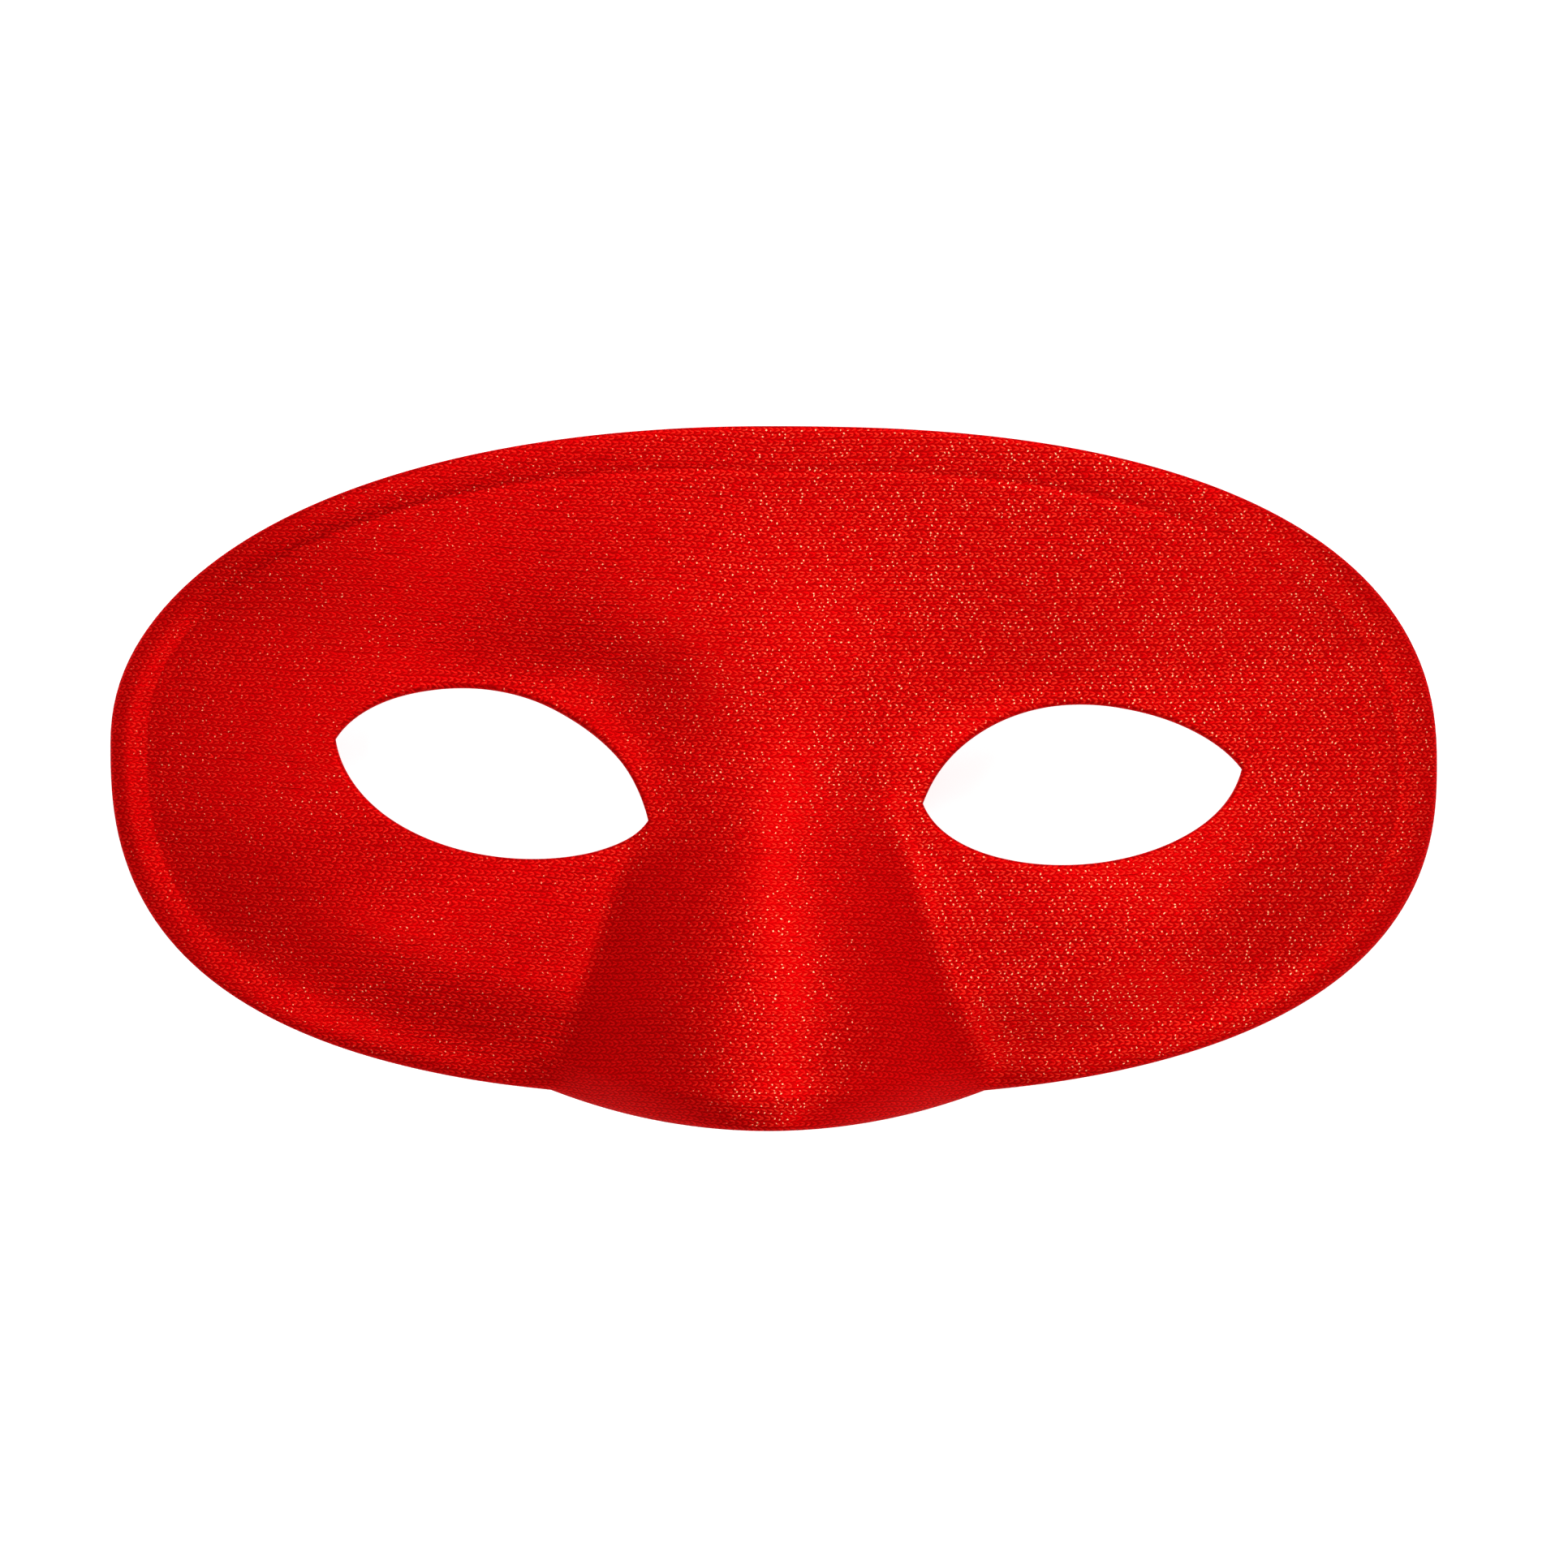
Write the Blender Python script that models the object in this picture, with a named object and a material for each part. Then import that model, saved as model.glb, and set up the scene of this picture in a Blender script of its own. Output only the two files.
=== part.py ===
# Costume eye mask: one moulded shell of knitted fabric with a rolled rim, a nose and two eye holes.
# It lies face up. X runs across the face, Y runs up to the forehead and Z points out of the face.
# The origin is under the middle of the mask, on the surface that its two ends rest on.

import math

import bmesh
import bpy

# Driving dimensions, in metres
FACE_WIDTH = 0.185          # from end to end
BROW_REACH = 0.0449         # from the level line up to the top edge
CHEEK_REACH = 0.0481        # from the level line down to the oval's lowest point
WALL = 0.0016               # thickness of the shell with its fabric
CROWN_HEIGHT = 0.0199       # height of the plain face above the ends, at the middle
CROWN_FULLNESS = 2.56       # exponent of the fall from the middle to the rim
EDGE_LIFT = 0.0162          # how far the top and bottom edges stand above the ends
REST_HALF = 0.015           # half the length of edge that each end rests on

BAND_WIDTH = 0.0062         # width of the rolled rim
BEAD_RISE = 0.0011          # height of the roll above the face where it is tallest
ROLL_FALL = 0.0011          # fall of the band's outer half where it is deepest
EDGE_ROUND = 0.0004         # height taken off the band's outermost edge
EDGE_HEIGHT = 0.0031        # upright edge below the band

NOSE_MIDDLE = -0.00085      # the nose stands this far right of the middle
NOSE_ROOT = 0.0370          # where the nose starts, above the level line
NOSE_HEIGHT = 0.0245        # height of the nose at the lower edge
NOSE_TOP_HALF = 0.0182      # half width of the nose at the eyes
NOSE_LOW_HALF = 0.0308      # half width of the nose at the lower edge
LIP_HALF = 0.030            # half width of the lip under the nose
LIP_DROP = 0.0040           # how far the lip hangs below the oval
LIP_TUCK = 0.0048           # how far the lip's edge turns down beside the nose's tip

EYE_WIDTH = 0.0447          # from corner to corner
EYE_SPACING = 0.0822        # between the middles of the holes
EYE_SHIFT = 0.0018          # both holes stand this far right of the middle
EYE_DROP = 0.0044           # middles of the holes below the level line
UPPER_LID = 0.012           # height of the upper lid line above the corners
LOWER_LID = 0.010           # depth of the lower lid line below the corners

SOCKET_DEPTH = 0.0019       # depth of the hollow around each eye
SOCKET_HEIGHT = 0.0131      # from the hollow's middle up to its deepest line
SOCKET_INNER = 0.0322       # from its middle to that line, towards the nose
SOCKET_OUTER = 0.0337       # from its middle to that line, towards the end
SOCKET_SHIFT = 0.0035       # its middle stands this much nearer the nose than the eye's
SOCKET_DROP = 0.0015        # and this much lower
BROW_DEPTH = 0.0021         # hollow between the brow and the nose's root
CHEEK_BULGE = 0.0014        # swelling of each cheek
CHEEK_TUCK = 0.0037         # how far the lower face stands out above the rim

# One row for each side of the face. level is a share of BROW_REACH, the two fullness columns are
# the exponents of the oval, hollow is a share of the hollows' depths, tilt is in degrees, and the
# eye's other columns are shares of EYE_WIDTH and of the lid heights.
SIDES = [
    {"side": -1, "level": 0.023, "brow_fullness": 2.14, "cheek_fullness": 2.58, "hollow": 1.0,
     "tilt": 14.3, "lift": 0.010,
     "upper": [(0.225, 1.65), (0.913, 1.03)], "lower": [(0.084, 1.11), (0.849, 1.59)]},
    {"side": 1, "level": -0.043, "brow_fullness": 2.38, "cheek_fullness": 2.49, "hollow": 0.36,
     "tilt": 6.0, "lift": -0.011,
     "upper": [(0.210, 1.58), (0.853, 0.91)], "lower": [(0.077, 1.33), (0.881, 1.48)]},
]

# The nose's form. Of two values, the first holds at the eyes and the second at the tip.
NOSE_FORM = {
    "ridge_round": (0.35, 0.54),    # roundness of the ridge, a share of the nose's half width
    "ridge_range": (0.0, -0.935),   # where it starts and ends growing, shares of CHEEK_REACH
    "foot_round": (0.47, 0.17),     # roundness where the flanks meet the face
    "foot_range": (0.083, -0.374),  # where it starts and ends shrinking, shares of CHEEK_REACH
    "bulge": 0.35,                  # share of a flank's line that is round and not straight
    "fade": 2.29,                   # how fast the foot dies out on the face
    "climb": 1.76,                  # exponent of the ridge's rise from the root
    "ease": 0.6,                    # how much sooner than that it rises
    "widen_from": 0.106,            # where the nose starts to widen, a share of CHEEK_REACH
    "widen_power": 1.34,            # exponent of the widening
}

# The hollow around an eye
SOCKET_FORM = {
    "power": 2.3,                   # exponent of its deepest line
    "grow": (-45.0, 0.0),           # degrees round the eye, from the nose's side, where it starts
    "fade": (67.0, 145.0),          # and where it ends
    "outside": 0.525,               # its width outside that line, a share of the line's reach
    "inside": 0.364,                # and inside it
}

# Soft hollows and swellings, placed from an eye's middle towards the nose as shares of EYE_WIDTH
# and from the level line as shares of the reach named
DENTS = [
    {"rise": -BROW_DEPTH, "inward": 0.244, "wide": 0.285,
     "reach": BROW_REACH, "level": 0.274, "tall": 0.234},
    {"rise": CHEEK_BULGE, "inward": 0.0, "wide": 0.535,
     "reach": CHEEK_REACH, "level": -0.304, "tall": 0.191},
]

# The lower face stands out between two lines across it, as shares of CHEEK_REACH, and falls back
# to the rim between two ovals. beside is how much of it the nose's middle leaves out.
TUCK_FORM = {"lines": (0.076, 0.546), "ovals": (0.709, 0.961), "beside": 0.8}

# The rolled rim differs round the mask. Each row holds degrees round the middle, from the right end
# over the forehead, then the share of BEAD_RISE and the share of ROLL_FALL there.
RIM_FORM = [
    (-180, 1.0, 0.25), (-160, 1.0, 0.25), (-140, 0.1, 0.9), (-122, 0.0, 0.5), (-100, 0.0, 0.0),
    (-80, 0.0, 0.0), (-57, 0.25, 0.5), (-40, 0.65, 0.95), (-20, 0.2, 1.0), (0, 0.0, 0.25),
    (16, 0.2, 0.5), (47, 0.15, 0.1), (90, 0.0, 0.1), (132, 0.45, 0.1), (163, 0.55, 0.2),
    (180, 1.0, 0.25),
]

# Shares of BAND_WIDTH, from the outer edge inwards
BAND_STEPS = [0.0, 0.10, 0.25, 0.45, 0.65, 0.85, 1.0]
BEAD_CREST = 0.25           # where the roll reaches its full height
FALL_SHARE = 0.5            # where the fall to the outer edge starts
ROUND_SHARE = 0.1           # where the rounding of the outermost edge starts
TUCK_SHARE = 0.75           # where the lip starts to turn down
TUCK_POWER = 1.35           # exponent of that turn

# Shares of LIP_HALF from the nose's middle: the lip turns down less within the first, and its turn
# dies out from the second to the third. tip is the share that the middle leaves out.
LIP_FORM = {"tip": 0.55, "tip_half": 0.3, "fade": (0.7, 1.35)}

# Facets of the mesh
BROW_FACETS = 16            # from the middle of the top edge to an end
CHEEK_FACETS = 13           # from an end to the lip's corner
LIP_FACETS = 6              # half of the lip
BRIDGE_FACETS = 14          # down the middle of the face
FACE_RINGS = 13             # from an eye hole out to the band
LID_STEPS = 40              # of a lid's fine line
EDGE_STEPS = 400            # of an edge's fine line, before it is spaced evenly

HALF_WIDTH = FACE_WIDTH / 2
SIDE_BLEND = 0.2 * HALF_WIDTH      # the two sides' values change over within this of the middle
LIP_RADIUS = (LIP_HALF ** 2 + LIP_DROP ** 2) / (2 * LIP_DROP)


def smooth(low, high, value):
    share = min(max((value - low) / (high - low), 0.0), 1.0)
    return share * share * (3.0 - 2.0 * share)


def hill(value):
    return math.exp(-value * value)


def stepped(name, place):
    """A value of the nose's form, changing from the eyes down to the tip."""
    first, second = NOSE_FORM[name + "_round"]
    start, end = NOSE_FORM[name + "_range"]
    return first + (second - first) * smooth(start, end, place)


def side_value(column, x):
    """Blend a column of the table across the middle of the face."""
    right = smooth(-SIDE_BLEND, SIDE_BLEND, x)
    return SIDES[0][column] * (1.0 - right) + SIDES[1][column] * right


def level_at(x):
    return side_value("level", x) * BROW_REACH


def top_edge(x):
    power = side_value("brow_fullness", x)
    spread = min(abs(x) / HALF_WIDTH, 1.0)
    return level_at(x) + (BROW_REACH - level_at(x)) * (1.0 - spread ** power) ** (1.0 / power)


def lower_edge(x):
    """Lower half of the oval, with the lip's arc hung below it."""
    power = side_value("cheek_fullness", x)
    spread = min(abs(x) / HALF_WIDTH, 1.0)
    oval = level_at(x) - (CHEEK_REACH + level_at(x)) * (1.0 - spread ** power) ** (1.0 / power)
    across = abs(x - NOSE_MIDDLE)
    if across >= LIP_HALF:
        return oval
    return oval - (math.sqrt(LIP_RADIUS ** 2 - across ** 2) - LIP_RADIUS + LIP_DROP)


def oval_place(x, y):
    """Distance out as a share of the oval, height off the level line, and that line's reach."""
    rise = y - level_at(x)
    upper = rise > 0
    power = side_value("brow_fullness" if upper else "cheek_fullness", x)
    reach = BROW_REACH - level_at(x) if upper else CHEEK_REACH + level_at(x)
    out = ((abs(x) / HALF_WIDTH) ** power + (abs(rise) / reach) ** power) ** (1.0 / power)
    return out, abs(rise), reach


def nose_height(x, y):
    """A ridge that grows from the root to the lower edge, with steep flanks and a round top."""
    below = -y / CHEEK_REACH
    widen_from = NOSE_FORM["widen_from"]
    wider = max((below - widen_from) / (1.0 - widen_from), 0.0) ** NOSE_FORM["widen_power"]
    half = NOSE_TOP_HALF + (NOSE_LOW_HALF - NOSE_TOP_HALF) * wider
    across = (x - NOSE_MIDDLE) / half
    ridge = stepped("ridge", -below)
    foot = stepped("foot", -below)
    straight = (math.hypot(across, ridge) - ridge) / (math.hypot(1.0, ridge) - ridge)
    roof = 1.0 - straight - NOSE_FORM["bulge"] * (across ** 2 - straight)
    section = 0.5 * (roof + math.hypot(roof, foot)) * hill(NOSE_FORM["fade"] * max(abs(across) - 1.0, 0.0))
    down = min(max((NOSE_ROOT - y) / (NOSE_ROOT + CHEEK_REACH + LIP_DROP), 0.0), 1.0)
    rise = down ** NOSE_FORM["climb"] * (1.0 + NOSE_FORM["ease"] * (1.0 - down))
    return NOSE_HEIGHT * rise * section


def edge_height(x, y):
    """Height of the lower end of the rim's edge, flat on the ground at the two ends."""
    out, rise, reach = oval_place(x, y)
    climb = (min(rise / max(out, 0.0001), reach) - REST_HALF) / (reach - REST_HALF)
    return EDGE_LIFT * smooth(0.0, 1.0, climb)


def socket_hollow(row, x, y):
    """Hollow around an eye, deepest over the inner corner and fading towards the end."""
    middle = eye_middle(row)
    inward = (middle[0] - x) * row["side"] - SOCKET_SHIFT
    upward = y - middle[1] + SOCKET_DROP
    length = SOCKET_INNER if inward > 0 else SOCKET_OUTER
    power = SOCKET_FORM["power"]
    out = ((abs(inward) / length) ** power + (abs(upward) / SOCKET_HEIGHT) ** power) ** (1.0 / power)
    turn = math.degrees(math.atan2(upward, inward))
    strength = smooth(*SOCKET_FORM["grow"], turn) * (1.0 - smooth(*SOCKET_FORM["fade"], turn))
    width = SOCKET_FORM["outside"] if out > 1.0 else SOCKET_FORM["inside"]
    return SOCKET_DEPTH * row["hollow"] * strength * hill((out - 1.0) / width)


def dent_height(dent, row, x, y):
    inward = (eye_middle(row)[0] - x) * row["side"] / EYE_WIDTH
    across = hill((inward - dent["inward"]) / dent["wide"])
    along = hill((y / dent["reach"] - dent["level"]) / dent["tall"])
    strength = row["hollow"] if dent["rise"] < 0 else 1.0
    return dent["rise"] * strength * across * along


def face_height(x, y):
    out, rise, reach = oval_place(x, y)
    rim = edge_height(x, y) + EDGE_HEIGHT
    height = CROWN_HEIGHT - (CROWN_HEIGHT - rim) * out ** CROWN_FULLNESS
    lower = smooth(*TUCK_FORM["lines"], -y / CHEEK_REACH)
    beside_nose = 1.0 - TUCK_FORM["beside"] * hill((x - NOSE_MIDDLE) / NOSE_TOP_HALF)
    height += CHEEK_TUCK * lower * beside_nose * (1.0 - smooth(*TUCK_FORM["ovals"], out))
    height += nose_height(x, y)
    for row in SIDES:
        height -= socket_hollow(row, x, y)
        height += sum(dent_height(dent, row, x, y) for dent in DENTS)
    return height


def rim_shares(x, y):
    """Shares of the roll and of its outer fall at a place of the outline."""
    turn = math.degrees(math.atan2(y, x))
    for start, end in zip(RIM_FORM, RIM_FORM[1:]):
        if turn <= end[0]:
            way = (turn - start[0]) / (end[0] - start[0])
            return start[1] + (end[1] - start[1]) * way, start[2] + (end[2] - start[2]) * way
    return RIM_FORM[-1][1:]


def lip_tuck(x):
    """How far the lip's edge turns down, at a place across the face."""
    across = abs(x - NOSE_MIDDLE) / LIP_HALF
    tip = LIP_FORM["tip"] * hill(across / LIP_FORM["tip_half"])
    return LIP_TUCK * (1.0 - tip) * (1.0 - smooth(*LIP_FORM["fade"], across))


def roll_height(share, x, y):
    """Height of the rim's band over the face's own line, from a place of the outline inwards."""
    bead, fall = rim_shares(x, y)
    roll = BEAD_RISE * bead * (1.0 - smooth(BEAD_CREST, 1.0, share))
    roll -= ROLL_FALL * fall * max(1.0 - share / FALL_SHARE, 0.0) ** 2
    roll -= EDGE_ROUND * max(1.0 - share / ROUND_SHARE, 0.0) ** 2
    if y < 0:
        roll -= lip_tuck(x) * max(1.0 - share / TUCK_SHARE, 0.0) ** TUCK_POWER
    return roll


def foot_height(x, y):
    """Height of the rim's lower edge, which climbs over the nose."""
    height = edge_height(x, y) + nose_height(x, y)
    return height - lip_tuck(x) if y < 0 else height


def eye_middle(row):
    return (row["side"] * EYE_SPACING / 2 + EYE_SHIFT, row["lift"] * EYE_WIDTH - EYE_DROP)


def lid_curve(row, handles, height):
    """One lid line from the inner corner to the outer one, as a Bezier curve."""
    middle = eye_middle(row)
    tilt = math.radians(row["tilt"])
    controls = [(0.0, 0.0), *handles, (1.0, 0.0)]
    points = []
    for step in range(LID_STEPS + 1):
        t = step / LID_STEPS
        weights = [(1 - t) ** 3, 3 * t * (1 - t) ** 2, 3 * t * t * (1 - t), t ** 3]
        along = (sum(w * c[0] for w, c in zip(weights, controls)) - 0.5) * EYE_WIDTH
        across = sum(w * c[1] for w, c in zip(weights, controls)) * height
        x = along * math.cos(tilt) - across * math.sin(tilt)
        y = along * math.sin(tilt) + across * math.cos(tilt)
        points.append((middle[0] + row["side"] * x, middle[1] + y))
    return points


def even_steps(points, count):
    """Walk along a line of points and return count + 1 points, evenly spaced."""
    lengths = [0.0]
    for first, second in zip(points, points[1:]):
        lengths.append(lengths[-1] + math.dist(first, second))
    result = []
    index = 0
    for step in range(count + 1):
        target = lengths[-1] * step / count
        while index < len(points) - 2 and lengths[index + 1] < target:
            index += 1
        share = (target - lengths[index]) / (lengths[index + 1] - lengths[index])
        start, end = points[index], points[index + 1]
        result.append(tuple(a + (b - a) * share for a, b in zip(start, end)))
    return result


def edge_line(edge, start, end, count):
    """Evenly spaced points of an edge between two places across the face."""
    turn_start = math.asin(start / HALF_WIDTH)
    turn_end = math.asin(end / HALF_WIDTH)
    dense = []
    for step in range(EDGE_STEPS + 1):
        x = HALF_WIDTH * math.sin(turn_start + (turn_end - turn_start) * step / EDGE_STEPS)
        dense.append((x, edge(x)))
    return even_steps(dense, count)


def outline_half(side):
    """The outer edge of one half, from the middle of the top round the end to the lip's middle."""
    tip = side * HALF_WIDTH
    corner = NOSE_MIDDLE + side * LIP_HALF
    brow = edge_line(top_edge, NOSE_MIDDLE, tip, BROW_FACETS)
    cheek = edge_line(lower_edge, tip, corner, CHEEK_FACETS)
    lip = edge_line(lower_edge, corner, NOSE_MIDDLE, LIP_FACETS)
    return brow + cheek[1:] + lip[1:]


def inward_steps(outline):
    """For each point of a closed outline that runs clockwise, the unit step to its inside."""
    steps = []
    for index, point in enumerate(outline):
        before = outline[index - 1]
        after = outline[(index + 1) % len(outline)]
        length = math.dist(before, after)
        steps.append(((after[1] - before[1]) / length, (before[0] - after[0]) / length))
    return steps


def hole_point(row, target):
    """Where the line from an eye's middle to a target crosses the lids."""
    middle = eye_middle(row)
    upper = lid_curve(row, row["upper"], UPPER_LID)
    lower = lid_curve(row, row["lower"], -LOWER_LID)
    loop = upper + lower[-2:0:-1]
    way = (target[0] - middle[0], target[1] - middle[1])
    for index, start in enumerate(loop):
        end = loop[(index + 1) % len(loop)]
        a = (start[0] - middle[0]) * way[1] - (start[1] - middle[1]) * way[0]
        b = (end[0] - middle[0]) * way[1] - (end[1] - middle[1]) * way[0]
        if a * b > 0 or a == b:
            continue
        share = a / (a - b)
        x = start[0] + (end[0] - start[0]) * share
        y = start[1] + (end[1] - start[1]) * share
        if (x - middle[0]) * way[0] + (y - middle[1]) * way[1] > 0:
            return (x, y)
    return None


def snap_corners(row, loop):
    """Move the nearest point of a hole's loop to each of the hole's two corners."""
    upper = lid_curve(row, row["upper"], UPPER_LID)
    for corner in (upper[0], upper[-1]):
        nearest = min(range(len(loop)), key=lambda index: math.dist(loop[index], corner))
        loop[nearest] = corner


def add_strip(mesh, first, second):
    """Join two rings of as many vertices with quads, facing up or out."""
    count = len(first)
    for index in range(count):
        after = (index + 1) % count
        mesh.faces.new((first[index], first[after], second[after], second[index]))


def add_rim(mesh, outline, middle_y):
    """The upright edge and the rolled band. Returns the band's inner ring of vertices."""
    inward = inward_steps(outline)
    rows = []
    foot = []
    for x, y in outline:
        foot.append(mesh.verts.new((x, y - middle_y, foot_height(x, y))))
    rows.append(foot)
    for share in BAND_STEPS:
        ring = []
        for (x, y), step in zip(outline, inward):
            place_x = x + step[0] * share * BAND_WIDTH
            place_y = y + step[1] * share * BAND_WIDTH
            height = face_height(place_x, place_y) + roll_height(share, x, y)
            ring.append(mesh.verts.new((place_x, place_y - middle_y, height)))
        rows.append(ring)
    for first, second in zip(rows, rows[1:]):
        add_strip(mesh, first, second)
    return rows[-1]


def add_face_half(mesh, row, band, bridge, middle_y):
    """Rings of vertices from one eye hole out to the band and the middle line."""
    outer = band + bridge
    targets = [(vertex.co.x, vertex.co.y + middle_y) for vertex in outer]
    hole = [hole_point(row, target) for target in targets]
    snap_corners(row, hole)
    rings = []
    for step in range(FACE_RINGS):
        share = step / FACE_RINGS
        ring = []
        for start, end in zip(hole, targets):
            x = start[0] + (end[0] - start[0]) * share
            y = start[1] + (end[1] - start[1]) * share
            ring.append(mesh.verts.new((x, y - middle_y, face_height(x, y))))
        rings.append(ring)
    rings.append(outer)
    for inner, outside in zip(rings, rings[1:]):
        add_strip(mesh, outside, inner)


def build_mask():
    right = outline_half(1)
    left = outline_half(-1)
    outline = right + left[-2:0:-1]
    heights = [y for x, y in outline]
    middle_y = (max(heights) + min(heights)) / 2

    mesh = bmesh.new()
    band = add_rim(mesh, outline, middle_y)
    turn = len(right) - 1
    top, bottom = band[0], band[turn]
    bridge = []
    for step in range(1, BRIDGE_FACETS):
        share = step / BRIDGE_FACETS
        x = bottom.co.x + (top.co.x - bottom.co.x) * share
        y = bottom.co.y + (top.co.y - bottom.co.y) * share
        bridge.append(mesh.verts.new((x, y, face_height(x, y + middle_y))))
    add_face_half(mesh, SIDES[1], band[:turn + 1], bridge, middle_y)
    add_face_half(mesh, SIDES[0], band[turn:] + [top], bridge[::-1], middle_y)
    bmesh.ops.recalc_face_normals(mesh, faces=mesh.faces[:])
    if sum(face.normal.z for face in mesh.faces) < 0:
        bmesh.ops.reverse_faces(mesh, faces=mesh.faces[:])

    data = bpy.data.meshes.new("mask_shell")
    mesh.to_mesh(data)
    mesh.free()
    data.shade_smooth()
    shell = bpy.data.objects.new("mask_shell", data)
    bpy.context.collection.objects.link(shell)
    wall = shell.modifiers.new("wall", "SOLIDIFY")
    wall.thickness = WALL
    wall.offset = -1.0
    wall.use_even_offset = True
    shell.data.materials.append(red_fabric())
    return shell


def red_fabric():
    material = bpy.data.materials.new("red_knit")
    material.use_nodes = True
    surface = material.node_tree.nodes["Principled BSDF"]
    surface.inputs["Base Color"].default_value = (0.70, 0.006, 0.005, 1.0)
    surface.inputs["Roughness"].default_value = 0.5
    return material


for item in list(bpy.data.objects):
    bpy.data.objects.remove(item, do_unlink=True)

build_mask()
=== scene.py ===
import bpy
import numpy as np
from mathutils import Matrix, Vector


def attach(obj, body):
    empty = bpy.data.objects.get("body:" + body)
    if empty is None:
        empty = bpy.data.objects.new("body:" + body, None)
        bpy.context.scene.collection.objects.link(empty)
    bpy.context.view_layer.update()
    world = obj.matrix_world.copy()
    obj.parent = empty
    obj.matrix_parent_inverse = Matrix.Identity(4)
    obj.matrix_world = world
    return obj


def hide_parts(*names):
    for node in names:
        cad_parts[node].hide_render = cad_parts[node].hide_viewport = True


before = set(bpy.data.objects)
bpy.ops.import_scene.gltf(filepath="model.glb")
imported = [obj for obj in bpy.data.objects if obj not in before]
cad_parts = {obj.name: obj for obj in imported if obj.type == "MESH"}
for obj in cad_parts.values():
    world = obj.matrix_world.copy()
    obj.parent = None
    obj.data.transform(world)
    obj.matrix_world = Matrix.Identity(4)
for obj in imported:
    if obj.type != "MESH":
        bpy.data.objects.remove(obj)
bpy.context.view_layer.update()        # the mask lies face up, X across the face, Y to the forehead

# What a user would change on the mask, in metres unless a note says otherwise
mask = {
    "width": 0.185,
    "browReach": 0.0449,       # level line to the top edge
    "cheekReach": 0.0481,      # level line to the oval's lowest point
    "wall": 0.0016,
    "crownHeight": 0.0199,
    "crownFullness": 2.56,     # exponent of the fall from the middle to the rim
    "edgeLift": 0.0162,
    "restHalf": 0.015,
    "bandWidth": 0.0062,
    "beadRise": 0.0011,
    "rollFall": 0.0011,
    "edgeRound": 0.0004,
    "edgeHeight": 0.0031,
    "creaseDepth": 0.00022,    # of the fine line beside the rim
    "noseMiddle": -0.00085,
    "noseRoot": 0.0370,
    "noseHeight": 0.0245,
    "noseTopHalf": 0.0182,
    "noseLowHalf": 0.0308,
    "lipHalf": 0.030,
    "lipDrop": 0.0040,
    "lipTuck": 0.0048,
    "eyeWidth": 0.0447,
    "eyeSpacing": 0.0822,
    "eyeShift": 0.0018,
    "eyeDrop": 0.0044,
    "upperLid": 0.012,
    "lowerLid": 0.010,
    "lidRound": 0.0006,        # how far the fabric rolls over an eye hole's edge
    "lidRise": 0.0008,         # the inner corners of the holes stand this much proud
    "lidReach": 0.0034,
    "lidRange": (-0.1, 0.4),   # where that rise grows, in shares of eyeWidth from the eye's middle
    "socketDepth": 0.0019,
    "socketHeight": 0.0131,
    "socketInner": 0.0322,
    "socketOuter": 0.0337,
    "socketShift": 0.0035,
    "socketDrop": 0.0015,
    "browDepth": 0.0021,
    "cheekBulge": 0.0014,
    "cheekTuck": 0.0037,
}

# The nose's form: where two values stand, the first is for the eyes and the second for the tip
noseForm = {
    "ridgeRound": (0.35, 0.54),      # of the nose's half width
    "footRound": (0.47, 0.17),       # of its height
    "footRange": (0.083, -0.374),    # of cheekReach from the level line
    "ridgeRange": (0.0, -0.935),
    "bulge": 0.35,                   # share of the flanks that is round and not straight
    "fade": 2.29,
    "climb": 1.76,
    "ease": 0.6,
    "widenFrom": 0.106,              # of cheekReach below the level line
    "widenPower": 1.34,
}

# Soft hollows and swellings, placed from an eye's middle towards the nose and from the level line
dents = {
    "browHollow": {"rise": "browDepth", "sign": -1, "inward": 0.244, "wide": 0.285,
                   "level": 0.274, "tall": 0.234, "reach": "browReach"},
    "cheekSwell": {"rise": "cheekBulge", "sign": 1, "inward": 0.0, "wide": 0.535,
                   "level": -0.304, "tall": 0.191, "reach": "cheekReach"},
}

# The hollow round an eye: grow and fade are degrees round it, from the nose's side
socketForm = {
    "power": 2.3,
    "grow": (-45.0, 0.0),
    "fade": (67.0, 145.0),
    "outside": 0.525,          # its width outside its deepest line, a share of that line's reach
    "inside": 0.364,
}

# The lower face stands out between two lines across it and falls back to the rim between two ovals
tuckForm = {
    "lines": (0.076, 0.546),   # of cheekReach below the level line
    "ovals": (0.709, 0.961),
    "beside": 0.8,             # how much of it the nose's middle leaves out
}

# The two sides of the face differ a little, as the photo shows
sides = {
    "left": {"side": -1, "level": 0.023, "browFullness": 2.14, "cheekFullness": 2.58, "hollow": 1.0,
             "tilt": 14.3, "lift": 0.010,
             "upper": [(0.225, 1.65), (0.913, 1.03)], "lower": [(0.084, 1.11), (0.849, 1.59)]},
    "right": {"side": 1, "level": -0.043, "browFullness": 2.38, "cheekFullness": 2.49, "hollow": 0.36,
              "tilt": 6.0, "lift": -0.011,
              "upper": [(0.210, 1.58), (0.853, 0.91)], "lower": [(0.077, 1.33), (0.881, 1.48)]},
}

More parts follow.
